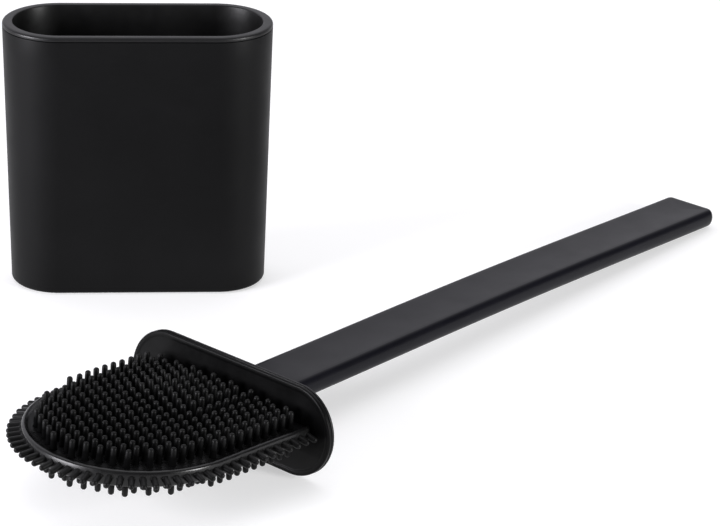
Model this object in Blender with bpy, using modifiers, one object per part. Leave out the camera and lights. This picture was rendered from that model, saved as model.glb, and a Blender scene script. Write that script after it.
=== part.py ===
"""Flat silicone toilet brush and its oval stand.

The stand is a tapered outer shell with a lift-out liner.  The brush lies on the floor in
front of it, resting on its splash collar and on the end of its handle.
Metres, +Z up, origin under the middle of the stand, front towards -Y.
"""
import math

import bmesh
import bpy
from mathutils import Matrix, Vector

# ---- stand ------------------------------------------------------------------------------
STAND_TOP_WIDTH = 0.1150
STAND_TOP_DEPTH = 0.0485
STAND_BASE_WIDTH = 0.1110
STAND_BASE_DEPTH = 0.0418
STAND_HEIGHT = 0.1180
SHELL_WALL = 0.0018
SHELL_FLOOR = 0.0022
SHELL_FOOT_RADIUS = 0.0017
FLANGE_THICKNESS = 0.0017
FLANGE_EDGE_RADIUS = 0.0005
LINER_WALL_AT_ENDS = 0.0021
LINER_WALL_AT_SIDES = 0.0014
LINER_FLOOR = 0.0018
LINER_CORNER_RADIUS = 0.0060
LINER_SIDE_CLEARANCE = 0.0005
LINER_FLOOR_CLEARANCE = 0.0012
SEAM_GAP = 0.0003
RING_POINTS = 48

# ---- where the brush lies ---------------------------------------------------------------
BRUSH_X = 0.0349
BRUSH_Y = -0.1619
BRUSH_HEADING = math.radians(44.75)
HEAD_LEAN = math.radians(5.77)
HANDLE_REST_GAP = 0.0003

# ---- splash collar ----------------------------------------------------------------------
COLLAR_WIDTH = 0.1033
COLLAR_HEIGHT = 0.0362
COLLAR_SEAL_THICKNESS = 0.0017
COLLAR_BACK_THICKNESS = 0.0012
COLLAR_EDGE_RADIUS = 0.0004

# ---- handle -----------------------------------------------------------------------------
HANDLE_WIDTH = 0.0264
HANDLE_THICKNESS = 0.0082
HANDLE_LENGTH = 0.3175
HANDLE_EDGE_RADIUS = 0.0028
HANDLE_CORNER_RADIUS = 0.0034
HANDLE_BEND_AT = 0.1760
HANDLE_BEND_SPREAD = 0.0500
HANDLE_BEND = math.radians(1.06)
HANDLE_STEPS = 16
CORNER_STEPS = 4
EDGE_STEPS = 4

# ---- head -------------------------------------------------------------------------------
HEAD_HALF_WIDTH = 0.0418
HEAD_LENGTH = 0.0975
HEAD_TIP_DEPTH = 0.0460
HEAD_OFFSET = 0.00135
BLADE_THICKNESS = 0.0046
BEAD_WIDTH = 0.0019
BEAD_HEIGHT = 0.0005
BRISTLE_LENGTH = 0.0070
FIELD_MARGIN = 0.0024
FIELD_COLLAR_GAP = 0.0030
FRINGE_LENGTH = 0.0046
FRINGE_THICKNESS = 0.0024
OUTLINE_STEPS = 24

# ---- core inside the head ---------------------------------------------------------------
CORE_THICKNESS = 0.0014
CORE_MARGIN = 0.0080
NECK_WIDTH = 0.0160
TOUCH_GAP = 0.0003

for old in list(bpy.data.objects):
    bpy.data.objects.remove(old, do_unlink=True)

parts = bpy.data.collections.new("toilet_brush_and_stand")
cutters = bpy.data.collections.new("cutters")
bpy.context.scene.collection.children.link(parts)
bpy.context.scene.collection.children.link(cutters)


# ---- materials --------------------------------------------------------------------------
def material(name, colour, roughness):
    """A plain plastic or rubber finish."""
    result = bpy.data.materials.new(name)
    result.use_nodes = True
    shader = result.node_tree.nodes["Principled BSDF"]
    shader.inputs["Base Color"].default_value = (*colour, 1.0)
    shader.inputs["Roughness"].default_value = roughness
    shader.inputs["Metallic"].default_value = 0.0
    return result


SHELL_BLACK = material("shell_black", (0.020, 0.020, 0.021), 0.48)
LINER_BLACK = material("liner_black", (0.013, 0.013, 0.014), 0.22)
HANDLE_BLACK = material("handle_black", (0.026, 0.026, 0.029), 0.40)
COLLAR_BLACK = material("collar_black", (0.022, 0.022, 0.024), 0.45)
CORE_BLACK = material("core_black", (0.020, 0.020, 0.020), 0.50)
SILICONE_BLACK = material("silicone_black", (0.012, 0.012, 0.012), 0.36)
BRISTLE_BLACK = material("bristle_black", (0.013, 0.013, 0.013), 0.42)


# ---- shared helpers ---------------------------------------------------------------------
def add_part(name, bm, finish, parent=None, collection=parts):
    """Turn a bmesh into a named object, shaded smooth except at its sharp edges."""
    bmesh.ops.recalc_face_normals(bm, faces=bm.faces)
    mesh = bpy.data.meshes.new(name)
    bm.to_mesh(mesh)
    bm.free()
    if finish is not None:
        mesh.materials.append(finish)
    mesh.shade_smooth()
    mesh.set_sharp_from_angle(angle=math.radians(35))
    part = bpy.data.objects.new(name, mesh)
    collection.objects.link(part)
    part.parent = parent
    return part


def round_edges(part, width, segments, angle=40):
    """Round the edges of a part that are sharper than the angle."""
    bevel = part.modifiers.new("round_edges", "BEVEL")
    bevel.width = width
    bevel.segments = segments
    bevel.limit_method = "ANGLE"
    bevel.angle_limit = math.radians(angle)


def cut(part, cutter):
    """Take a cutter's shape out of a part."""
    cutter.hide_render = True
    cutter.display_type = "WIRE"
    boolean = part.modifiers.new("cut", "BOOLEAN")
    boolean.operation = "DIFFERENCE"
    boolean.solver = "EXACT"
    boolean.object = cutter


def empty(name, location, rotation, parent=None):
    """A frame that other objects are placed in."""
    result = bpy.data.objects.new(name, None)
    result.location = location
    result.rotation_euler = rotation
    result.parent = parent
    parts.objects.link(result)
    return result


def raise_face(bm, face, thickness):
    """Extrude one face straight up into a plate."""
    lifted = bmesh.ops.extrude_face_region(bm, geom=[face])
    verts = [item for item in lifted["geom"] if isinstance(item, bmesh.types.BMVert)]
    bmesh.ops.translate(bm, verts=verts, vec=(0.0, 0.0, thickness))


def plate(outline, bottom, top):
    """A flat plate in the XY plane from a closed outline."""
    bm = bmesh.new()
    face = bm.faces.new([bm.verts.new((x, y, bottom)) for x, y in outline])
    raise_face(bm, face, top - bottom)
    return bm


# ---- the stand --------------------------------------------------------------------------
def stand_size(height):
    """Width and depth of the stand's tapered outside at a height."""
    share = height / STAND_HEIGHT
    width = STAND_BASE_WIDTH + (STAND_TOP_WIDTH - STAND_BASE_WIDTH) * share
    depth = STAND_BASE_DEPTH + (STAND_TOP_DEPTH - STAND_BASE_DEPTH) * share
    return width, depth


def oval_ring(bm, width, depth, height):
    """A ring with straight sides and round ends: a circle whose halves are moved apart."""
    turned = Matrix.Rotation(math.pi / RING_POINTS, 4, "Z")
    ring = bmesh.ops.create_circle(bm, segments=RING_POINTS, radius=depth / 2, matrix=turned)
    reach = (width - depth) / 2
    for vert in ring["verts"]:
        vert.co.x += math.copysign(reach, vert.co.x)
        vert.co.z = height
    return ring["verts"]


def oval_stack(rings):
    """A closed skin through rings of (inset from the stand's outside, height)."""
    bm = bmesh.new()
    loops = []
    for inset_x, inset_y, height in rings:
        width, depth = stand_size(height)
        loops.append(oval_ring(bm, width - 2 * inset_x, depth - 2 * inset_y, height))
    for near, far in zip(loops, loops[1:]):
        for i in range(RING_POINTS):
            after = (i + 1) % RING_POINTS
            bm.faces.new((near[i], near[after], far[after], far[i]))
    bm.faces.new(loops[0])
    bm.faces.new(loops[-1])
    return bm


def arc(radius, start, end, steps):
    """Points (inset, rise) along a quarter of a round corner, from its centre."""
    angles = [math.radians(start + (end - start) * i / steps) for i in range(steps + 1)]
    return [(radius * math.cos(a), radius * math.sin(a)) for a in angles]


def outer_shell():
    """Tapered oval shell, closed at the floor and open at the top."""
    top = STAND_HEIGHT - FLANGE_THICKNESS - SEAM_GAP
    rings = []
    for along, rise in arc(SHELL_FOOT_RADIUS, -90, 0, 4):
        inset = SHELL_FOOT_RADIUS - along
        rings.append((inset, inset, SHELL_FOOT_RADIUS + rise))
    rings.append((0.0, 0.0, top))
    rings.append((SHELL_WALL, SHELL_WALL, top))
    rings.append((SHELL_WALL, SHELL_WALL, SHELL_FLOOR))
    return add_part("outer_shell", oval_stack(rings), SHELL_BLACK)


def liner():
    """Lift-out cup with a flat flange that covers the shell's top edge."""
    wall_outside = SHELL_WALL + LINER_SIDE_CLEARANCE
    rim_at_ends = wall_outside + LINER_WALL_AT_ENDS
    rim_at_sides = wall_outside + LINER_WALL_AT_SIDES
    outer_floor = SHELL_FLOOR + LINER_FLOOR_CLEARANCE
    inner_floor = outer_floor + LINER_FLOOR
    under_flange = STAND_HEIGHT - FLANGE_THICKNESS
    edge = FLANGE_EDGE_RADIUS
    rings = []
    for along, rise in arc(LINER_CORNER_RADIUS, -90, 0, 4):
        inset = wall_outside + LINER_CORNER_RADIUS - along
        rings.append((inset, inset, outer_floor + LINER_CORNER_RADIUS + rise))
    rings.append((wall_outside, wall_outside, under_flange))
    rings.append((0.0, 0.0, under_flange))
    for along, rise in arc(edge, 0, 90, 2):
        rings.append((edge - along, edge - along, STAND_HEIGHT - edge + rise))
    for along, rise in arc(edge, 90, 180, 2):
        rings.append((rim_at_ends - edge - along, rim_at_sides - edge - along,
                      STAND_HEIGHT - edge + rise))
    for along, rise in arc(LINER_CORNER_RADIUS, 0, -90, 4):
        inset = LINER_CORNER_RADIUS - along
        rings.append((rim_at_ends + inset, rim_at_sides + inset,
                      inner_floor + LINER_CORNER_RADIUS + rise))
    return add_part("liner_cup", oval_stack(rings), LINER_BLACK)


# ---- frames of the brush ----------------------------------------------------------------
def collar_centre_height():
    """The collar stands on its lower long edge, leaning back."""
    return COLLAR_HEIGHT / 2 * math.cos(HEAD_LEAN)


def handle_droop():
    """The slope at which the handle's far end comes down to the floor."""
    fall = collar_centre_height() - HANDLE_THICKNESS / 2 - HANDLE_REST_GAP
    return math.asin((fall - bend_drop(HANDLE_LENGTH)) / HANDLE_LENGTH)


def brush_frames():
    """The handle's frame and the head's frame, which share the collar's centre.

    X runs from the head to the handle's end, Y across the brush and Z up through it.
    """
    droop = handle_droop()
    handle_frame = empty("handle_frame", (BRUSH_X, BRUSH_Y, collar_centre_height()),
                         (0.0, droop, BRUSH_HEADING))
    head_frame = empty("head_frame", (0.0, 0.0, 0.0), (0.0, HEAD_LEAN - droop, 0.0),
                       handle_frame)
    return handle_frame, head_frame


# ---- collar -----------------------------------------------------------------------------
def collar_layer(name, finish, front, thickness, parent):
    """One oval layer of the collar, standing across the brush."""
    bm = bmesh.new()
    face = bm.faces.new(oval_ring(bm, COLLAR_WIDTH, COLLAR_HEIGHT, 0.0))
    raise_face(bm, face, thickness)
    upright = Matrix(((0, 0, 1, 0), (1, 0, 0, 0), (0, 1, 0, 0), (0, 0, 0, 1)))
    bmesh.ops.transform(bm, matrix=upright, verts=bm.verts)
    bmesh.ops.translate(bm, verts=bm.verts, vec=(front, 0.0, 0.0))
    return add_part(name, bm, finish, parent)


def block(name, low, high, parent, collection=cutters):
    """A box between two corners."""
    bm = bmesh.new()
    size = Vector(high) - Vector(low)
    middle = (Vector(high) + Vector(low)) / 2
    placed = Matrix.Translation(middle) @ Matrix.Diagonal((*size, 1.0))
    bmesh.ops.create_cube(bm, size=1.0, matrix=placed)
    return add_part(name, bm, None, parent, collection)


def neck_slot(parent):
    """The slot through both collar layers that the core's neck passes through."""
    half_width = NECK_WIDTH / 2 + TOUCH_GAP
    half_height = CORE_THICKNESS / 2 + TOUCH_GAP
    reach = COLLAR_SEAL_THICKNESS + COLLAR_BACK_THICKNESS + SEAM_GAP
    low = (-1.5 * reach, -half_width, HEAD_OFFSET - half_height)
    high = (0.5 * reach, half_width, HEAD_OFFSET + half_height)
    return block("neck_slot", low, high, parent)


# ---- handle -----------------------------------------------------------------------------
def bend_drop(x):
    """How far the handle's centre line has dropped at x: straight, a soft bend, straight."""
    start = HANDLE_BEND_AT - HANDLE_BEND_SPREAD
    slope = math.tan(HANDLE_BEND)
    inside = min(max(x - start, 0.0), 2 * HANDLE_BEND_SPREAD)
    beyond = max(x - start - 2 * HANDLE_BEND_SPREAD, 0.0)
    return slope * (inside * inside / (4 * HANDLE_BEND_SPREAD) + beyond)


def handle_outline(start, inset):
    """The strip's plan as an open loop round its free end, shrunk by an inset."""
    half = HANDLE_WIDTH / 2 - inset
    radius = HANDLE_CORNER_RADIUS - inset
    straight = HANDLE_LENGTH - HANDLE_CORNER_RADIUS
    arm = [(start + (straight - start) * i / HANDLE_STEPS, half) for i in range(HANDLE_STEPS)]
    for along, side in arc(radius, 90, 0, CORNER_STEPS):
        arm.append((straight + along, half - radius + side))
    return [(x, -y) for x, y in arm] + arm[::-1]


def handle(parent):
    """A long flat strip with rounded long edges and end, following the bend."""
    radius = HANDLE_EDGE_RADIUS
    start = TOUCH_GAP + HANDLE_THICKNESS / 2 * math.tan(HEAD_LEAN - handle_droop())
    upper = [(radius - side, HANDLE_THICKNESS / 2 - radius + rise)
             for side, rise in arc(radius, 90, 0, EDGE_STEPS)]
    lower = [(inset, -height) for inset, height in reversed(upper)]
    bm = bmesh.new()
    loops = []
    for inset, height in upper + lower:
        outline = handle_outline(start, inset)
        loops.append([bm.verts.new((x, y, height - bend_drop(x))) for x, y in outline])
    count = len(loops[0])
    for near, far in zip(loops, loops[1:]):
        for i in range(count - 1):
            bm.faces.new((near[i], near[i + 1], far[i + 1], far[i]))
    for loop in (loops[0], loops[-1]):
        for i in range(count // 2 - 1):
            bm.faces.new((loop[i], loop[i + 1], loop[-i - 2], loop[-i - 1]))
    bm.faces.new([loop[0] for loop in loops] + [loop[-1] for loop in reversed(loops)])
    return add_part("handle", bm, HANDLE_BLACK, parent)


# ---- head -------------------------------------------------------------------------------
def tongue_outline(half_width, length, root):
    """Straight sides and a half-oval tip, from x = -root to x = -length."""
    tip_depth = HEAD_TIP_DEPTH - (HEAD_HALF_WIDTH - half_width)
    centre = -(length - tip_depth)
    points = [(-root, -half_width)]
    for i in range(OUTLINE_STEPS + 1):
        angle = -math.pi / 2 + math.pi * i / OUTLINE_STEPS
        points.append((centre - tip_depth * math.cos(angle), half_width * math.sin(angle)))
    points.append((-root, half_width))
    return points


def collar_depth():
    """Distance from the collar's rear face to its front face."""
    return COLLAR_BACK_THICKNESS + SEAM_GAP + COLLAR_SEAL_THICKNESS


def blade(parent, core_space):
    """The soft blade that carries the bristles, with a raised bead round its edge."""
    root = collar_depth() + TOUCH_GAP
    half = BLADE_THICKNESS / 2
    outer = HEAD_HALF_WIDTH + BEAD_WIDTH / 2
    length = HEAD_LENGTH + BEAD_WIDTH / 2
    bm = plate(tongue_outline(outer, length, root), HEAD_OFFSET - half - BEAD_HEIGHT,
               HEAD_OFFSET + half + BEAD_HEIGHT)
    part = add_part("head_blade", bm, SILICONE_BLACK, parent)
    inner = HEAD_HALF_WIDTH - BEAD_WIDTH / 2
    inner_length = HEAD_LENGTH - BEAD_WIDTH / 2
    for name, side in (("blade_top_recess", 1), ("blade_bottom_recess", -1)):
        levels = sorted((HEAD_OFFSET + side * half, HEAD_OFFSET + side * (half + 4 * BEAD_HEIGHT)))
        recess = plate(tongue_outline(inner, inner_length, root - BEAD_WIDTH), *levels)
        cut(part, add_part(name, recess, None, parent, cutters))
    cut(part, core_space)
    return part


def core(parent):
    """The stiff tongue inside the blade and its neck through the collar, and the blade's
    pocket for them."""
    half = CORE_THICKNESS / 2
    half_width = HEAD_HALF_WIDTH - CORE_MARGIN
    length = HEAD_LENGTH - CORE_MARGIN
    root = collar_depth() + CORE_MARGIN / 2
    neck_end = TOUCH_GAP
    outline = tongue_outline(half_width, length, root)
    neck = [(-root, NECK_WIDTH / 2), (-neck_end, NECK_WIDTH / 2),
            (-neck_end, -NECK_WIDTH / 2), (-root, -NECK_WIDTH / 2)]
    bm = plate(outline + neck, HEAD_OFFSET - half, HEAD_OFFSET + half)
    part = add_part("head_core", bm, CORE_BLACK, parent)
    gap = TOUCH_GAP
    wide = NECK_WIDTH / 2 + gap
    outline = tongue_outline(half_width + gap, length + gap, root - gap)
    neck = [(gap - root, wide), (0.0, wide), (0.0, -wide), (gap - root, -wide)]
    pocket = plate(outline + neck, HEAD_OFFSET - half - gap, HEAD_OFFSET + half + gap)
    return part, add_part("core_pocket", pocket, None, parent, cutters)


def bristle_field(name, side, parent):
    """The block that one face's upright bristles fill."""
    half = BLADE_THICKNESS / 2
    inner = HEAD_HALF_WIDTH - BEAD_WIDTH / 2 - FIELD_MARGIN
    length = HEAD_LENGTH - BEAD_WIDTH / 2 - FIELD_MARGIN
    root = collar_depth() + FIELD_COLLAR_GAP
    levels = sorted((HEAD_OFFSET + side * (half + TOUCH_GAP),
                     HEAD_OFFSET + side * (half + BRISTLE_LENGTH)))
    return add_part(name, plate(tongue_outline(inner, length, root), *levels),
                    BRISTLE_BLACK, parent)


def fringe(parent):
    """The band that the bristles round the blade's edge fill."""
    inner = HEAD_HALF_WIDTH + BEAD_WIDTH / 2 + TOUCH_GAP
    inner_length = HEAD_LENGTH + BEAD_WIDTH / 2 + TOUCH_GAP
    outer = inner - TOUCH_GAP + FRINGE_LENGTH
    outer_length = inner_length - TOUCH_GAP + FRINGE_LENGTH
    root = collar_depth() + FIELD_COLLAR_GAP
    there = tongue_outline(outer, outer_length, root)
    back = tongue_outline(inner, inner_length, root)[::-1]
    bm = plate(there + back, HEAD_OFFSET - FRINGE_THICKNESS / 2,
               HEAD_OFFSET + FRINGE_THICKNESS / 2)
    return add_part("bristle_fringe", bm, BRISTLE_BLACK, parent)


def brush():
    """The handle, both collar layers and the head."""
    handle_frame, head_frame = brush_frames()
    handle(handle_frame)
    slot = neck_slot(head_frame)
    seal_front = -collar_depth()
    seal = collar_layer("collar_seal", SILICONE_BLACK, seal_front, COLLAR_SEAL_THICKNESS,
                        head_frame)
    back = collar_layer("collar_back", COLLAR_BLACK, -COLLAR_BACK_THICKNESS,
                        COLLAR_BACK_THICKNESS, head_frame)
    for layer in (seal, back):
        round_edges(layer, COLLAR_EDGE_RADIUS, 2)
        cut(layer, slot)
    core_part, core_space = core(head_frame)
    blade(head_frame, core_space)
    bristle_field("bristle_field_top", 1, head_frame)
    bristle_field("bristle_field_bottom", -1, head_frame)
    fringe(head_frame)


outer_shell()
liner()
brush()
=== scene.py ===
"""Looks for the flat silicone toilet brush and its oval stand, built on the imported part."""
import math
import random

import bmesh
import bpy
import numpy as np
from mathutils import Matrix, Vector


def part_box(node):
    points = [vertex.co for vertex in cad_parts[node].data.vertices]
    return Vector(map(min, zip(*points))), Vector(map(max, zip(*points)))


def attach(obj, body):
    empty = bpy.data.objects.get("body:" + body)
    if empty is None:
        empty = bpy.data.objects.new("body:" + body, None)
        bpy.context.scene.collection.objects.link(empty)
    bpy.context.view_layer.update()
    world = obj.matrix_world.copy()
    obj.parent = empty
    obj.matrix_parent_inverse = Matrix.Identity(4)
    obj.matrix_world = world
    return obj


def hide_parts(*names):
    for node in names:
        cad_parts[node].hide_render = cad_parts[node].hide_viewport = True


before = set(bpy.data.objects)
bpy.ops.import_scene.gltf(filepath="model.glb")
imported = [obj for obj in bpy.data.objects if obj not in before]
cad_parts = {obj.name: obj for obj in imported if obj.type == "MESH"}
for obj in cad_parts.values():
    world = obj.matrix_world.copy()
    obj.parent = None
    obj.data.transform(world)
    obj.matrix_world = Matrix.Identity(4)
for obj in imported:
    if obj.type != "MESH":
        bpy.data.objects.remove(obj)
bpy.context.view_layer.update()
random.seed(7)

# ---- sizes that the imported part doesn't hold, in metres -----------------------------------
# Stand.
SHELL_LIP = 0.0003
FLANGE_OUTER_ROLL = 0.0013
FLANGE_INNER_ROLL = 0.0006
LINER_CORNER = 0.0060

# Collar. Edges are pairs of inset and distance from the face they belong to.
COLLAR_ROLL = 0.00075
COLLAR_LIP = 0.0026
COLLAR_SINK = 0.00030
LIP_SHARES = (0.55, 0.45)  # where the lip's inner slope starts, and the rest of its width
SEAL_BACK_EDGE = ((0.0006, 0.0), (0.0002, 0.0001), (0.0, 0.0003))
REAR_FRONT_EDGE = ((0.0002, 0.0), (0.0, 0.0002))
FACE_RING = 0.004  # a last ring inside each flat face keeps the shading flat

# Handle.
HANDLE_ROLL = 0.0025
HANDLE_CORNER = 0.0036
HANDLE_LEAST_CORNER = 0.0004
HANDLE_DISH = 0.00035
DISH_SHARES = (0.12, 0.3, 0.5, 0.7, 0.85)

# Blade. The bead's section is pairs of position across it and height, both as shares.
BEAD_WIDTH = 0.0024
BEAD_TIP_INSET = 0.0019
BEAD_PROFILE = ((-1.3, 0.0), (-1.0, 0.12), (-0.7, 0.62), (-0.35, 0.93), (0.0, 1.0),
                (0.4, 0.86), (0.75, 0.45), (0.93, -0.2))
BEAD_LIFT = 1.6
TIP_SAG = 0.0019
SAG_START = 0.012
SAG_LENGTH = 0.110
CORE_SWELL = 0.0012
SWELL_LENGTH = 0.050
SWELL_END_FADE = 0.018
SWELL_HALF_WIDTH = 0.025
SWELL_SIDE_FADE = 0.016

# Bristles. The foot is pairs of height and share of the radius.
BRISTLE_RADIUS = 0.00122
BRISTLE_FOOT = ((0.0, 1.36), (0.0005, 1.12), (0.0011, 1.03))
BRISTLE_TAPER = 0.95
DOME_SHARE = 0.92
ROOT_SINK = 0.0002
FADE_SHARES = (0.30, 0.95)  # painted shade: the shine comes in between these shares of a bristle's length
PITCH = 0.00466
FIRST_COLUMN = 0.0040
MOST_COLUMNS = 30
FIELD_INSET = 0.0043
FIELD_TIP_INSET = 0.0023
ON_OUTLINE = 1.0005  # lets the outermost rows stand on the outline itself
FIELD_STRAY = 0.018
LENGTH_STRAY = 0.00006
SLOPE_STEP = 0.001
SLOPE_LEAN = 2.0  # how much a bristle leans out for a given slope of the blade's face
EDGE_LEAN = 0.05
FRINGE_PITCH = 0.0040
FRINGE_FIRST = 0.95  # distance of the first side bristle from the tip's arc, in pitches
FRINGE_ROOT = 0.3  # where the fringe stands on the bead, as a share of the bead's width
FRINGE_TIP_EXTRA = 0.0010
FRINGE_STRAY = 0.02
FRINGE_DROOP = 0.16


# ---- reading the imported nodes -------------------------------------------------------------
SQUARE_TOLERANCE = 0.02
HANDLE_ROOT_REACH = 0.07
UPWARD = 0.9


def node_points(node):
    """The corners of a node's mesh, as an array."""
    return np.array([vert.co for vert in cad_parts[node].data.vertices])


def widest_normal(node, square_to=None):
    """The direction that most of a node's surface faces, up to its sign."""
    areas = {}
    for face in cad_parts[node].data.polygons:
        normal = face.normal.copy()
        if square_to is not None and abs(normal.dot(square_to)) > SQUARE_TOLERANCE:
            continue
        lead = max(range(3), key=lambda i: abs(normal[i]))
        if normal[lead] < 0:
            normal.negate()
        key = tuple(round(value, 2) for value in normal)
        total, area = areas.get(key, (Vector(), 0.0))
        areas[key] = (total + normal * face.area, area + face.area)
    total, _ = max(areas.values(), key=lambda item: item[1])
    return total.normalized()


def axes_at(centre, along, across, up):
    """A placement from its centre and three axes."""
    return Matrix.Translation(centre) @ Matrix((along, across, up)).transposed().to_4x4()


def head_frame():
    """Placement at the middle of the collar's rear face: X to the handle, Z up."""
    rear = widest_normal("collar_back")
    centre = Vector(node_points("collar_back").mean(0))
    if rear.dot(Vector(node_points("handle").mean(0)) - centre) < 0:
        rear.negate()
    up = widest_normal("collar_back", rear)
    if up.z < 0:
        up.negate()
    across = up.cross(rear)
    turn = np.array(Matrix((rear, across, up)))
    local = node_points("collar_back") @ turn.T
    low, high = local.min(0), local.max(0)
    middle = np.array((high[0], (low[1] + high[1]) / 2, (low[2] + high[2]) / 2))
    centre = Vector(middle @ turn)
    return axes_at(centre, rear, across, up)


def handle_frame():
    """Placement at the collar's centre, with the handle's own slope."""
    across = HEAD.to_3x3().col[1].normalized()
    near = []
    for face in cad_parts["handle"].data.polygons:
        reach = (face.center - HEAD.translation).length
        if reach < HANDLE_ROOT_REACH and face.normal.z > UPWARD:
            near.append((face.area, face.normal.copy()))
    up = max(near, key=lambda item: item[0])[1]
    along = across.cross(up).normalized()
    return axes_at(HEAD.translation, along, across, along.cross(across).normalized())


def local_points(node, placement):
    """A node's points in a placement's own axes."""
    back = np.array(placement.inverted())
    return node_points(node) @ back[:3, :3].T + back[:3, 3]


def local_box(node, placement):
    """Lowest and highest corner of a node in a placement's own axes."""
    points = local_points(node, placement)
    return Vector(points.min(0)), Vector(points.max(0))


# ---- meshes -------------------------------------------------------------------------------
def make_piece(name, verts, faces, body, material, placement=Matrix.Identity(4),
               replaces=(), sharp=None):
    """A smooth mesh object that rides on a body and stands for CAD nodes."""
    mesh = bpy.data.meshes.new(name)
    mesh.from_pydata([tuple(placement @ Vector(v)) for v in verts], [], faces)
    bm = bmesh.new()
    bm.from_mesh(mesh)
    bmesh.ops.remove_doubles(bm, verts=bm.verts, dist=1e-6)
    bmesh.ops.recalc_face_normals(bm, faces=bm.faces)
    bm.to_mesh(mesh)
    bm.free()
    mesh.shade_smooth()
    if sharp is not None:
        mesh.set_sharp_from_angle(angle=math.radians(sharp))
    mesh.materials.append(material)
    piece = bpy.data.objects.new(name, mesh)
    bpy.context.scene.collection.objects.link(piece)
    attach(piece, body)
    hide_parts(*replaces)
    return piece


def ring_stack(rings):
    """Quads between closed rings of equal length, with a face on the first and last."""
    count = len(rings[0])
    verts = [point for ring in rings for point in ring]
    faces = []
    for near in range(0, len(verts) - count, count):
        for i in range(count):
            after = (i + 1) % count
            faces.append((near + i, near + after, near + count + after, near + count + i))
    faces.append(tuple(range(count)))
    faces.append(tuple(range(len(verts) - count, len(verts))))
    return verts, faces


def strip_stack(loops):
    """A closed skin through open U-shaped loops, whose two arms mirror each other.

    The first and last loops are closed across from arm to arm, and the open end by one face.
    """
    count = len(loops[0])
    verts = [point for loop in loops for point in loop]
    faces = []
    for near in range(0, len(verts) - count, count):
        for i in range(count - 1):
            faces.append((near + i, near + i + 1, near + count + i + 1, near + count + i))
    for start in (0, len(verts) - count):
        for i in range(count // 2):
            mirrored = start + count - 1 - i
            corners = (start + i, start + i + 1, mirrored - 1, mirrored)
            faces.append(tuple(dict.fromkeys(corners)))
    left = list(range(0, len(verts), count))
    right = [start + count - 1 for start in reversed(left)]
    faces.append(tuple(left + right))
    return verts, [face for face in faces if len(face) > 2]


def oval(width, depth, end_steps, side_steps=6):
    """A ring with straight sides and round ends."""
    radius = depth / 2
    reach = width / 2 - radius
    half = []
    for i in range(end_steps + 1):
        angle = -math.pi / 2 + math.pi * i / end_steps
        half.append((reach + radius * math.cos(angle), radius * math.sin(angle)))
    for i in range(1, side_steps):
        half.append((reach - 2 * reach * i / side_steps, radius))
    return half + [(-x, -y) for x, y in half]


def arc(radius, start, end, steps):
    """Points on an arc about the origin, angles in degrees."""
    angles = [math.radians(start + (end - start) * i / steps) for i in range(steps + 1)]
    return [(radius * math.cos(a), radius * math.sin(a)) for a in angles]


def smooth_step(value):
    """0 to 1 with soft ends."""
    value = min(max(value, 0.0), 1.0)
    return value * value * (3 - 2 * value)


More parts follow.
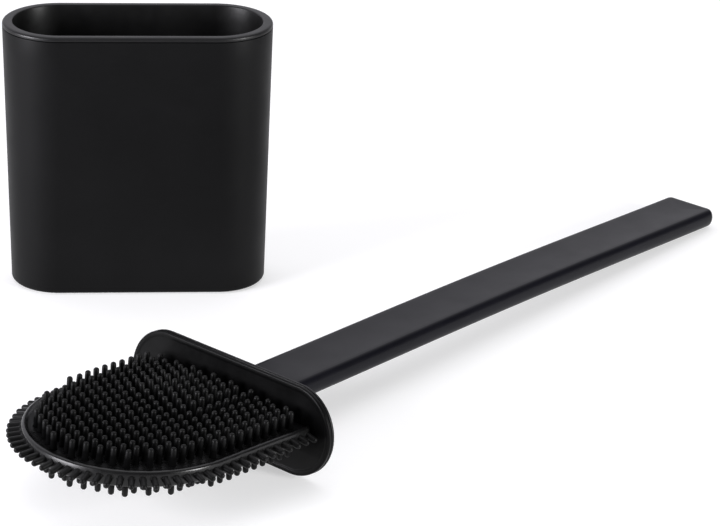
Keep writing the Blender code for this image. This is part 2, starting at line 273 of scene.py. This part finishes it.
# ---- materials ----------------------------------------------------------------------------
# Noise scales are in features per metre, relief heights in metres. Each look below is a name,
# the darkest and lightest grey, roughness, specular level, and for the handle its tint.
class Shader:
    """A Principled material that nodes are added to one by one."""

    def __init__(self, name, colour, roughness, specular):
        self.material = bpy.data.materials.new(name)
        self.material.use_nodes = True
        self.tree = self.material.node_tree
        self.shader = self.tree.nodes["Principled BSDF"]
        self.shader.inputs["Base Color"].default_value = (*colour, 1.0)
        self.shader.inputs["Roughness"].default_value = roughness
        self.shader.inputs["Specular IOR Level"].default_value = specular
        self.place = self.tree.nodes.new("ShaderNodeTexCoord").outputs["Object"]
        self.last_bump = None

    def join(self, source, target):
        """Link two sockets."""
        self.tree.links.new(source, target)

    def noise(self, scale, detail=2.0, roughness=0.5, stretch=None):
        """Noise in the object's own coordinates."""
        made = self.tree.nodes.new("ShaderNodeTexNoise")
        made.inputs["Scale"].default_value = scale
        made.inputs["Detail"].default_value = detail
        made.inputs["Roughness"].default_value = roughness
        source = self.place
        if stretch is not None:
            mapping = self.tree.nodes.new("ShaderNodeMapping")
            mapping.inputs["Scale"].default_value = stretch
            self.join(source, mapping.inputs["Vector"])
            source = mapping.outputs["Vector"]
        self.join(source, made.inputs["Vector"])
        return made.outputs["Fac"]

    def spread(self, value, low, high, from_low=0.3, from_high=0.7):
        """Map a noise value onto a range."""
        made = self.tree.nodes.new("ShaderNodeMapRange")
        made.inputs["From Min"].default_value = from_low
        made.inputs["From Max"].default_value = from_high
        made.inputs["To Min"].default_value = low
        made.inputs["To Max"].default_value = high
        self.join(value, made.inputs["Value"])
        return made.outputs["Result"]

    def vary_colour(self, value, dark, light):
        """Mix two colours by a noise value."""
        made = self.tree.nodes.new("ShaderNodeMix")
        made.data_type = "RGBA"
        made.inputs["A"].default_value = (*dark, 1.0)
        made.inputs["B"].default_value = (*light, 1.0)
        self.join(self.spread(value, 0.0, 1.0), made.inputs["Factor"])
        self.join(made.outputs["Result"], self.shader.inputs["Base Color"])

    def vary_roughness(self, value, low, high):
        """Drive roughness by a noise value."""
        self.join(self.spread(value, low, high), self.shader.inputs["Roughness"])

    def bump(self, value, height, strength=1.0):
        """Add relief of a real height in metres on top of what is already there."""
        made = self.tree.nodes.new("ShaderNodeBump")
        made.inputs["Strength"].default_value = strength
        made.inputs["Distance"].default_value = height
        self.join(value, made.inputs["Height"])
        if self.last_bump is not None:
            self.join(self.last_bump, made.inputs["Normal"])
        self.last_bump = made.outputs["Normal"]
        self.join(self.last_bump, self.shader.inputs["Normal"])

    def fade_towards(self, origin, up, near, far, specular):
        """Painted shade: dull the shine towards a plane, where close neighbours shade the
        surface.
        """
        offset = self.tree.nodes.new("ShaderNodeVectorMath")
        offset.operation = "SUBTRACT"
        offset.inputs[1].default_value = origin
        height = self.tree.nodes.new("ShaderNodeVectorMath")
        height.operation = "DOT_PRODUCT"
        height.inputs[1].default_value = up
        distance = self.tree.nodes.new("ShaderNodeMath")
        distance.operation = "ABSOLUTE"
        self.join(self.place, offset.inputs[0])
        self.join(offset.outputs["Vector"], height.inputs[0])
        self.join(height.outputs["Value"], distance.inputs[0])
        level = self.spread(distance.outputs["Value"], 0.0, specular, near, far)
        self.join(level, self.shader.inputs["Specular IOR Level"])


def grey(value, tint=0.03):
    """A nearly neutral black with a trace of blue."""
    return (value, value, value * (1 + tint))


def satin_plastic(name, dark, light, roughness, specular, tint=0.1):
    """Moulded plastic with a fine spark-eroded grain and slight unevenness."""
    look = Shader(name, grey(light, tint), roughness, specular)
    look.vary_colour(look.noise(38.0, 4.0), grey(dark, tint), grey(light, tint))
    look.vary_roughness(look.noise(65.0, 5.0, 0.6), roughness - 0.04, roughness + 0.04)
    look.bump(look.noise(16.0, 1.0), 1.0e-4, 0.3)
    look.bump(look.noise(2600.0, 2.0, 0.6), 5e-6)
    return look.material


def gloss_plastic(name, dark, light, roughness, specular):
    """Polished moulded plastic whose walls are slightly wavy, with faint wipe marks."""
    look = Shader(name, grey(light), roughness, specular)
    look.vary_colour(look.noise(30.0, 3.0), grey(dark), grey(light))
    look.vary_roughness(look.noise(70.0, 4.0, 0.6), roughness - 0.04, roughness + 0.05)
    look.bump(look.noise(26.0, 1.0, 0.5, (1.0, 1.0, 0.35)), 2.0e-4, 0.4)
    return look.material


def silicone(name, dark, light, roughness, specular, fade=None):
    """Soft moulded silicone, smooth and a little greasy; fade dulls its shine towards a plane as
    painted shade.
    """
    look = Shader(name, grey(light), roughness, specular)
    look.vary_colour(look.noise(110.0, 4.0), grey(dark), grey(light))
    look.vary_roughness(look.noise(160.0, 5.0, 0.6), roughness - 0.06, roughness + 0.06)
    look.bump(look.noise(120.0, 2.0), 4.0e-5, 0.5)
    look.bump(look.noise(3200.0, 2.0), 3e-6)
    if fade is not None:
        look.fade_towards(*fade, specular)
    return look.material


SHELL_LOOK = satin_plastic("shell_satin", 0.0018, 0.0027, 0.47, 0.10)
LINER_LOOK = gloss_plastic("liner_gloss", 0.0010, 0.0018, 0.35, 0.7)
RIM_LOOK = satin_plastic("rim_satin", 0.0030, 0.0042, 0.42, 0.24)
HANDLE_LOOK = satin_plastic("handle_satin", 0.0028, 0.0040, 0.32, 0.10, 0.60)
COLLAR_LOOK = satin_plastic("collar_satin", 0.0040, 0.0055, 0.42, 0.20)
SEAL_LOOK = silicone("seal_silicone", 0.0016, 0.0026, 0.38, 0.08)
BLADE_LOOK = silicone("blade_silicone", 0.0028, 0.0040, 0.27, 0.30)
FRINGE_LOOK = silicone("fringe_silicone", 0.0018, 0.0030, 0.44, 0.13)


# ---- stand --------------------------------------------------------------------------------
END_STEPS = 72
LEVEL_TOLERANCE = 0.00002
END_BAND = 0.0006  # how close to the middle lines a ring's points count as lying on them
SIDE_BAND = 0.0012
CREASE = 50  # degrees beyond which an edge of the stand stays sharp
FLANGE_LEAST = 0.001  # the flange is thicker than this
LEVEL_NORMAL = 0.99
LOW_SHARE = 0.2  # the inner floor lies in this lowest share of the stand
RISING_NORMAL = 0.3  # the polished inside takes in the corner and floor, which face up


def levels(node):
    """The heights at which a node's mesh has rings, lowest first."""
    return sorted(set(float(z) for z in np.round(node_points(node)[:, 2], 5)))


def ring_sizes(node, height):
    """Width and depth of a node's widest and narrowest ring at a height."""
    points = node_points(node)
    level = np.abs(points[np.abs(points[:, 2] - height) < LEVEL_TOLERANCE])
    at_end = level[level[:, 1] < level[:, 1].min() + END_BAND][:, 0]
    at_side = level[level[:, 0] < level[:, 0].min() + SIDE_BAND][:, 1]
    widest = (2 * float(at_end.max()), 2 * float(at_side.max()))
    narrowest = (2 * float(at_end.min()), 2 * float(at_side.min()))
    return widest, narrowest


FOOT_RADIUS, SHELL_FLOOR, SHELL_TOP = levels("outer_shell")[-3:]
TOP_SIZE, SHELL_MOUTH = ring_sizes("outer_shell", SHELL_TOP)
FOOT_SIZE = ring_sizes("outer_shell", FOOT_RADIUS)[0]
SHELL_WALL = (TOP_SIZE[0] - SHELL_MOUTH[0]) / 2
LINER_LOW, LINER_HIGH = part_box("liner_cup")
STAND_TOP = LINER_HIGH.z


def stand_size(height):
    """Width and depth of the stand's tapered outside at a height."""
    share = (height - FOOT_RADIUS) / (SHELL_TOP - FOOT_RADIUS)
    return tuple(foot + (top - foot) * share for foot, top in zip(FOOT_SIZE, TOP_SIZE))


def stand_rings(profile):
    """Oval rings from (inset at the ends, inset at the sides, height)."""
    rings = []
    for inset_x, inset_y, height in profile:
        width, depth = stand_size(height)
        ring = oval(width - 2 * inset_x, depth - 2 * inset_y, END_STEPS)
        rings.append([(x, y, height) for x, y in ring])
    return rings


def rise_between(low, high, steps):
    """Heights strictly between two heights."""
    return [low + (high - low) * i / steps for i in range(1, steps)]


def build_shell():
    """The shell: rolled foot, one straight tapered wall, softened top edge."""
    profile = []
    for along, rise in arc(FOOT_RADIUS, -90, 0, 8):
        inset = FOOT_RADIUS - along
        profile.append((inset, inset, FOOT_RADIUS + rise))
    for height in rise_between(FOOT_RADIUS, SHELL_TOP - SHELL_LIP, 12):
        profile.append((0.0, 0.0, height))
    for along, rise in arc(SHELL_LIP, 0, 90, 3):
        inset = SHELL_LIP - along
        profile.append((inset, inset, SHELL_TOP - SHELL_LIP + rise))
    profile.append((SHELL_WALL, SHELL_WALL, SHELL_TOP))
    profile.append((SHELL_WALL, SHELL_WALL, SHELL_FLOOR))
    verts, faces = ring_stack(stand_rings(profile))
    make_piece("shell_skin", verts, faces, "stand", SHELL_LOOK,
               replaces=("outer_shell",), sharp=CREASE)


def inner_floor():
    """The height of the cup's inner floor."""
    lows = []
    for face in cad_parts["liner_cup"].data.polygons:
        if face.normal.z > LEVEL_NORMAL and face.center.z < LOW_SHARE * STAND_TOP:
            lows.append(face.center.z)
    return min(lows)


def build_liner():
    """The lift-out cup: a satin flange with rolled edges, and polished walls inside."""
    under = [z for z in levels("liner_cup") if z < STAND_TOP - FLANGE_LEAST][-1]
    below_edge = levels("liner_cup")[-3]
    inside = ring_sizes("liner_cup", below_edge)[1]
    top_width, top_depth = stand_size(below_edge)
    rim_end = (top_width - inside[0]) / 2
    rim_side = (top_depth - inside[1]) / 2
    skin = (stand_size(under)[0] - ring_sizes("liner_cup", under)[1][0]) / 2
    roll, lip = FLANGE_OUTER_ROLL, FLANGE_INNER_ROLL
    profile = []
    for along, rise in arc(LINER_CORNER, -90, 0, 6):
        inset = skin + LINER_CORNER - along
        profile.append((inset, inset, LINER_LOW.z + LINER_CORNER + rise))
    profile.append((skin, skin, under))
    profile.append((0.0, 0.0, under))
    for along, rise in arc(roll, 0, 90, 8):
        profile.append((roll - along, roll - along, STAND_TOP - roll + rise))
    for along, rise in arc(lip, 90, 180, 6):
        profile.append((rim_end - lip - along, rim_side - lip - along, STAND_TOP - lip + rise))
    floor_centre = inner_floor() + LINER_CORNER
    for height in rise_between(STAND_TOP - lip, floor_centre, 14):
        profile.append((rim_end, rim_side, height))
    for along, rise in arc(LINER_CORNER, 0, -90, 8):
        inset = LINER_CORNER - along
        profile.append((rim_end + inset, rim_side + inset, floor_centre + rise))
    verts, faces = ring_stack(stand_rings(profile))
    piece = make_piece("liner", verts, faces, "liner", RIM_LOOK,
                       replaces=("liner_cup",), sharp=CREASE)
    piece.data.materials.append(LINER_LOOK)
    for face in piece.data.polygons:
        outward = Vector((face.center.x, face.center.y, 0.0))
        below_lip = face.center.z < STAND_TOP - lip
        faces_in = face.normal.dot(outward) < 0 or face.normal.z > RISING_NORMAL
        if below_lip and faces_in:
            face.material_index = 1


# ---- collar -------------------------------------------------------------------------------
HEAD = head_frame()


def build_collar_layer(name, node, profile, material):
    """A closed oval layer across the brush, from (inset, distance along X)."""
    low, high = local_box(node, HEAD)
    end_steps = 56
    rings = []
    for inset, x in profile:
        ring = oval(high.y - low.y - 2 * inset, high.z - low.z - 2 * inset, end_steps)
        rings.append([(x, y, z) for y, z in ring])
    verts, faces = ring_stack(rings)
    make_piece(name, verts, faces, "brush", material, HEAD, replaces=(node,), sharp=60)


def build_collar():
    """The soft front layer, with a rolled lip round a sunk face, and the hard rear one."""
    low, high = local_box("collar_seal", HEAD)
    front, back = low.x, high.x
    profile = [(inset, back - step) for inset, step in SEAL_BACK_EDGE]
    for along, rise in arc(COLLAR_ROLL, 0, 90, 6):
        profile.append((COLLAR_ROLL - along, front + COLLAR_ROLL - rise))
    start, rest = LIP_SHARES
    for i in range(6):
        share = i / 5
        inset = COLLAR_LIP * (start + rest * share)
        profile.append((inset, front + COLLAR_SINK * smooth_step(share)))
    profile.append((COLLAR_LIP + FACE_RING, front + COLLAR_SINK))
    build_collar_layer("collar_front", "collar_seal", profile, SEAL_LOOK)

    low, high = local_box("collar_back", HEAD)
    roll = (high.x - low.x) / 3
    profile = [(inset, low.x + step) for inset, step in REAR_FRONT_EDGE]
    for along, rise in arc(roll, 0, 90, 5):
        profile.append((roll - along, high.x - roll + rise))
    profile.append((FACE_RING, high.x))
    build_collar_layer("collar_rear", "collar_back", profile, COLLAR_LOOK)


# ---- handle -------------------------------------------------------------------------------
STATION_TOLERANCE = 0.00008
LEAST_POINTS = 8  # a station with fewer points is not a whole section of the handle
FULL_WIDTH = 0.9
LINE_DEGREE = 5


def handle_line(points, width):
    """Thickness, and the centre line's height as a smooth curve, from the CAD handle."""
    xs, heights, thickness = [], [], 0.0
    for station in sorted(set(np.round(points[:, 0], 4))):
        level = points[np.abs(points[:, 0] - station) < STATION_TOLERANCE]
        if len(level) < LEAST_POINTS or np.ptp(level[:, 1]) < FULL_WIDTH * width:
            continue
        thickness = max(thickness, float(np.ptp(level[:, 2])))
        xs.append(float(station))
        heights.append(float(level[:, 2].max() + level[:, 2].min()) / 2)
    return thickness, np.polynomial.Polynomial.fit(xs, heights, LINE_DEGREE)


def build_handle():
    """A long strip with rolled edges and a faintly dished top, following the CAD bow."""
    place = handle_frame()
    points = local_points("handle", place)
    start, end = float(points[:, 0].min()), float(points[:, 0].max())
    width = float(np.ptp(points[:, 1]))
    thickness, line = handle_line(points, width)
    half, roll = width / 2, HANDLE_ROLL
    count = 80

    def plan(inset):
        """The outline seen from above, open at the collar, at an inset from the edge."""
        radius = max(HANDLE_CORNER - inset, HANDLE_LEAST_CORNER)
        straight = end - inset - radius
        arm = [(start + (straight - start) * i / count, half - inset) for i in range(count)]
        for along, rise in arc(radius, 90, 0, 10):
            arm.append((straight + along, half - inset - radius + rise))
        return [(x, -y) for x, y in arm] + arm[::-1]

    section = []
    for share in DISH_SHARES:
        side = share * (half - roll)
        section.append((half - side, thickness / 2 - HANDLE_DISH * (1 - share * share)))
    for along, rise in arc(1.0, 90, -90, 18):
        section.append((roll * (1 - along), rise * thickness / 2))
    loops = []
    for inset, height in section:
        loops.append([(x, y, float(line(x)) + height) for x, y in plan(inset)])
    verts, faces = strip_stack(loops)
    make_piece("handle_strip", verts, faces, "brush", HANDLE_LOOK, place,
               replaces=("handle",), sharp=60)


# ---- head ---------------------------------------------------------------------------------
BLADE_LOW, BLADE_HIGH = local_box("head_blade", HEAD)
TOP_TIPS = local_box("bristle_field_top", HEAD)[1].z
BLADE_FACE = local_box("bristle_field_top", HEAD)[0].z
FRINGE_REACH = local_box("bristle_fringe", HEAD)[1].y
BLADE_MIDDLE = (BLADE_LOW.z + BLADE_HIGH.z) / 2
BLADE_HALF = BLADE_FACE - 0.0003 - BLADE_MIDDLE
BRISTLE_LENGTH = TOP_TIPS - BLADE_MIDDLE - BLADE_HALF
BEAD_HEIGHT = BLADE_HIGH.z - BLADE_MIDDLE - BLADE_HALF
HALF_WIDTH = BLADE_HIGH.y - BEAD_WIDTH / 2
ROOT = -BLADE_HIGH.x
# Painted shade on the bristles: their shine is dulled towards the blade's face, where neighbours
# shade them.
FIELD_FADE = (HEAD @ Vector((0, 0, BLADE_MIDDLE)), HEAD.to_3x3().col[2],
              BLADE_HALF + FADE_SHARES[0] * BRISTLE_LENGTH,
              BLADE_HALF + FADE_SHARES[1] * BRISTLE_LENGTH)
BRISTLE_LOOK = silicone("bristle_silicone", 0.0018, 0.0030, 0.46, 0.17, FIELD_FADE)


def tip_centre():
    """Where the blade's straight sides end and its oval tip begins."""
    points = local_points("head_blade", HEAD)
    return float(points[points[:, 1] > BLADE_HIGH.y - 1e-6][:, 0].min())


TIP_CENTRE = tip_centre()
TIP_DEPTH = TIP_CENTRE - BLADE_LOW.x - BEAD_WIDTH / 2 - BEAD_TIP_INSET


def sag(x):
    """How far the soft blade has sunk towards its tip."""
    return -TIP_SAG * smooth_step((-x - SAG_START) / SAG_LENGTH)


def swell(x, y):
    """How far the blade stands out over the thick root of its core."""
    along = smooth_step((SWELL_LENGTH + x) / SWELL_END_FADE)
    across = smooth_step((SWELL_HALF_WIDTH - abs(y)) / SWELL_SIDE_FADE)
    return CORE_SWELL * along * across


def blade_height(x, y, side):
    """Height of the blade's face at a point; side is 1 on top and -1 beneath."""
    return BLADE_MIDDLE + sag(x) + side * (BLADE_HALF + swell(x, y))


def tongue(half_width, steps):
    """Half-oval tip between straight sides, from root to root."""
    depth = TIP_DEPTH - (HALF_WIDTH - half_width)
    arm = []
    side_steps = steps // 3
    for i in range(side_steps):
        arm.append((-ROOT + (TIP_CENTRE + ROOT) * i / side_steps, half_width))
    for along, rise in arc(1.0, 90, 0, steps // 2):
        arm.append((TIP_CENTRE - depth * along, half_width * rise))
    return [(x, -y) for x, y in arm[:-1]] + arm[::-1]


def build_blade():
    """The blade: soft faces inside a round bead, one closed skin."""
    steps = 96
    nest = 24
    bead = BEAD_WIDTH / 2
    step = (HALF_WIDTH + BEAD_PROFILE[0][0] * bead) / nest

    def face_loops(side):
        """Nested outlines over one face, from the middle line out over the bead."""
        loops = []
        for i in range(nest):
            loops.append([(x, y, blade_height(x, y, side)) for x, y in tongue(step * i, steps)])
        for across, lift in BEAD_PROFILE:
            rise = side * BEAD_HEIGHT * BEAD_LIFT * lift
            outline = tongue(HALF_WIDTH + bead * across, steps)
            loops.append([(x, y, blade_height(x, y, side) + rise) for x, y in outline])
        return loops

    edge = tongue(HALF_WIDTH + bead, steps)
    middle = [(x, y, BLADE_MIDDLE + sag(x)) for x, y in edge]
    verts, faces = strip_stack(face_loops(1) + [middle] + face_loops(-1)[::-1])
    make_piece("blade", verts, faces, "brush", BLADE_LOOK, HEAD,
               replaces=("head_blade",))


def add_bristle(base, direction, length, verts, faces):
    """Add one bristle with a domed tip and a small flare at its foot."""
    sides = 12
    direction = direction.normalized()
    helper = Vector((1, 0, 0)) if abs(direction.x) < 0.8 else Vector((0, 1, 0))
    first = direction.cross(helper).normalized()
    second = direction.cross(first)
    dome = BRISTLE_RADIUS * DOME_SHARE
    rings = [*BRISTLE_FOOT, (length - dome, BRISTLE_TAPER)]
    for along, rise in arc(1.0, 25, 75, 3):
        rings.append((length - dome + dome * rise, BRISTLE_TAPER * along))
    start = len(verts)
    for along, share in rings:
        for x, y in arc(BRISTLE_RADIUS * share, 0, 360 - 360 / sides, sides - 1):
            verts.append(tuple(base + direction * along + first * x + second * y))
    for near in range(start, start + (len(rings) - 1) * sides, sides):
        for k in range(sides):
            after = (k + 1) % sides
            faces.append((near + k, near + after, near + sides + after, near + sides + k))
    last = len(verts) - sides
    verts.append(tuple(base + direction * length))
    for k in range(sides):
        faces.append((last + k, last + (k + 1) % sides, len(verts) - 1))
    faces.append(tuple(start + k for k in reversed(range(sides))))


def in_field(x, y):
    """Whether a bristle at this point stands clear inside the bead."""
    half_width = HALF_WIDTH - FIELD_INSET
    depth = TIP_DEPTH - FIELD_TIP_INSET
    beyond = max(TIP_CENTRE - x, 0.0)
    return (beyond / depth) ** 2 + (y / half_width) ** 2 <= ON_OUTLINE


def build_field(name, side, node):
    """Upright bristles on one face, on a staggered grid clipped by the outline."""
    rows = int((HALF_WIDTH - FIELD_INSET) / PITCH + 0.01)
    verts, faces = [], []
    for row in range(-rows, rows + 1):
        y = row * (HALF_WIDTH - FIELD_INSET) / rows
        shift = 0.0 if row % 2 else 0.5 * PITCH
        for column in range(MOST_COLUMNS):
            x = -ROOT - FIRST_COLUMN - column * PITCH - shift
            if not in_field(x, y):
                continue
            step = SLOPE_STEP
            slope_x = (swell(x + step, y) - swell(x - step, y)) / (2 * step)
            slope_y = (swell(x, y + step) - swell(x, y - step)) / (2 * step)
            lean_x = random.gauss(0, FIELD_STRAY) - SLOPE_LEAN * slope_x
            lean_y = random.gauss(0, FIELD_STRAY) - SLOPE_LEAN * slope_y
            direction = Vector((lean_x, lean_y + EDGE_LEAN * y / HALF_WIDTH, side))
            base = Vector((x, y, blade_height(x, y, side) - side * ROOT_SINK))
            length = BRISTLE_LENGTH + ROOT_SINK + random.gauss(0, LENGTH_STRAY)
            add_bristle(base, direction, length, verts, faces)
    make_piece(name, verts, faces, "brush", BRISTLE_LOOK, HEAD,
               replaces=(node,))


def build_fringe():
    """One row of bristles standing out all round the blade's edge, sagging a little."""
    root = HALF_WIDTH + BEAD_WIDTH * FRINGE_ROOT
    reach = FRINGE_REACH - root
    depth = TIP_DEPTH + root - HALF_WIDTH
    spots = []
    for i in range(int((-TIP_CENTRE - ROOT) / PITCH - 0.2)):
        x = TIP_CENTRE + (i + FRINGE_FIRST) * PITCH
        for side in (-1, 1):
            spots.append((x, side * root, Vector((0, side, 0)), 0.0))
    count = int(math.pi * (root + depth) / 2 / FRINGE_PITCH)
    for along, rise in arc(1.0, -90, 90, count):
        outward = Vector((-along / depth, rise / root, 0)).normalized()
        spots.append((TIP_CENTRE - depth * along, root * rise, outward, along * FRINGE_TIP_EXTRA))
    verts, faces = [], []
    for x, y, outward, extra in spots:
        stray = Vector([random.gauss(0, FRINGE_STRAY) for _ in range(3)])
        base = Vector((x, y, BLADE_MIDDLE + sag(x)))
        direction = outward + stray + Vector((0, 0, -FRINGE_DROOP))
        add_bristle(base, direction, reach + extra, verts, faces)
    make_piece("fringe", verts, faces, "brush", FRINGE_LOOK, HEAD,
               replaces=("bristle_fringe",))


# ---- stage, light and camera --------------------------------------------------------------
FLOOR_HALF = 6.0
FLOOR_DROP = 0.0004
FLOOR_GREYS = ((0.58, 0.58, 0.585), (0.60, 0.60, 0.605))
FLOOR_GLOW = 0.47

# The world's strength is the product of three fades: axis, where it runs, its two strengths.
WORLD_FADES = (("X", (0.35, 1.0), (1.0, 0.2)), ("Y", (0.1, 0.5), (0.17, 1.0)),
               ("Z", (0.1, 0.8), (0.9, 1.3)))
WORLD_COLOUR = (0.95, 0.94, 1.0, 1.0)
BACKDROP_STRENGTH = 1.1
WHITE = (1.0, 1.0, 1.0)
# Name, place, aim, size, watts and colour of each soft box.
LIGHTS = (
    ("overhead", (0.1, 0.1, 1.7), (0.1, -0.05, 0.0), (1.8, 1.4), 9.0, WHITE),
    ("left", (-1.4, -0.72, 0.40), (0.0, 0.0, 0.10), (0.8, 0.8), 46.0, (0.96, 0.95, 1.0)),
    ("right", (1.2, -0.9, 0.38), (0.0, 0.0, 0.10), (0.3, 0.6), 20.0, WHITE),
)

# The camera as fitted to the photograph: pitch, yaw and roll in degrees, and its place.
CAMERA_ANGLES = (23.474, 5.631, 1.952)
CAMERA_PLACE = (-0.00987, -1.09540, 0.48292)
CAMERA_LENS = 135.0
CAMERA_SENSOR = 36.0


def build_stage():
    """A pale plain floor that glows slightly, as an over-lit white table does."""
    half = FLOOR_HALF
    mesh = bpy.data.meshes.new("floor")
    mesh.from_pydata([(-half, -half, 0), (half, -half, 0), (half, half, 0), (-half, half, 0)],
                     [], [(0, 1, 2, 3)])
    floor = bpy.data.objects.new("floor", mesh)
    bpy.context.scene.collection.objects.link(floor)
    floor.location.z = -FLOOR_DROP
    look = Shader("floor_white", (0.6, 0.6, 0.61), 0.8, 0.1)
    look.vary_colour(look.noise(3.0, 3.0), *FLOOR_GREYS)
    look.bump(look.noise(900.0, 2.0), 2e-5, 0.3)
    look.shader.inputs["Emission Color"].default_value = (*WHITE, 1.0)
    look.shader.inputs["Emission Strength"].default_value = FLOOR_GLOW
    mesh.materials.append(look.material)


def area_light(name, location, target, size, power, colour):
    """A soft box aimed at a point."""
    data = bpy.data.lights.new(name, "AREA")
    data.shape = "RECTANGLE"
    data.size, data.size_y = size
    data.energy = power
    data.color = colour
    light = bpy.data.objects.new(name, data)
    light.location = location
    aim = Vector(target) - Vector(location)
    light.rotation_euler = aim.to_track_quat("-Z", "Y").to_euler()
    bpy.context.scene.collection.objects.link(light)


def build_world():
    """A soft studio: bright behind and to the left, dim behind the camera."""
    world = bpy.data.worlds.new("studio")
    bpy.context.scene.world = world
    world.use_nodes = True
    tree = world.node_tree
    back = tree.nodes["Background"]
    place = tree.nodes.new("ShaderNodeTexCoord")
    split = tree.nodes.new("ShaderNodeSeparateXYZ")
    tree.links.new(place.outputs["Generated"], split.inputs["Vector"])
    shares = []
    for axis, ends, values in WORLD_FADES:
        share = tree.nodes.new("ShaderNodeMapRange")
        share.interpolation_type = "SMOOTHSTEP"
        share.inputs["From Min"].default_value = ends[0]
        share.inputs["From Max"].default_value = ends[1]
        share.inputs["To Min"].default_value = values[0]
        share.inputs["To Max"].default_value = values[1]
        tree.links.new(split.outputs[axis], share.inputs["Value"])
        shares.append(share.outputs["Result"])
    level = shares[0]
    for share in shares[1:]:
        product = tree.nodes.new("ShaderNodeMath")
        product.operation = "MULTIPLY"
        tree.links.new(level, product.inputs[0])
        tree.links.new(share, product.inputs[1])
        level = product.outputs["Value"]
    seen = tree.nodes.new("ShaderNodeLightPath")
    mix = tree.nodes.new("ShaderNodeMix")
    mix.inputs["B"].default_value = BACKDROP_STRENGTH
    tree.links.new(seen.outputs["Is Camera Ray"], mix.inputs["Factor"])
    tree.links.new(level, mix.inputs["A"])
    back.inputs["Color"].default_value = WORLD_COLOUR
    tree.links.new(mix.outputs["Result"], back.inputs["Strength"])


def build_light():
    """A wide box overhead, and one low on each side of the camera."""
    build_world()
    for light in LIGHTS:
        area_light(*light)


def build_camera():
    """The photograph's viewpoint: a long lens, looking down and a little to the right."""
    pitch, yaw, roll = (math.radians(value) for value in CAMERA_ANGLES)
    forward = Vector((math.sin(yaw) * math.cos(pitch), math.cos(yaw) * math.cos(pitch),
                      -math.sin(pitch)))
    level = Vector((math.cos(yaw), -math.sin(yaw), 0.0))
    up = level.cross(forward)
    right = level * math.cos(roll) + up * math.sin(roll)
    top = up * math.cos(roll) - level * math.sin(roll)
    data = bpy.data.cameras.new("camera")
    data.sensor_width = CAMERA_SENSOR
    data.sensor_fit = "HORIZONTAL"
    data.lens = CAMERA_LENS
    data.clip_end = 50.0
    camera = bpy.data.objects.new("camera", data)
    camera.matrix_world = axes_at(Vector(CAMERA_PLACE), right, top, -forward)
    bpy.context.scene.collection.objects.link(camera)
    bpy.context.scene.camera = camera
    bpy.context.scene.view_settings.view_transform = "Standard"


build_shell()
build_liner()
build_collar()
build_handle()
build_blade()
build_field("top_bristles", 1, "bristle_field_top")
build_field("under_bristles", -1, "bristle_field_bottom")
build_fringe()
core_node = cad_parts["head_core"]
core_node.data.materials.clear()
core_node.data.materials.append(COLLAR_LOOK)
build_stage()
build_light()
build_camera()
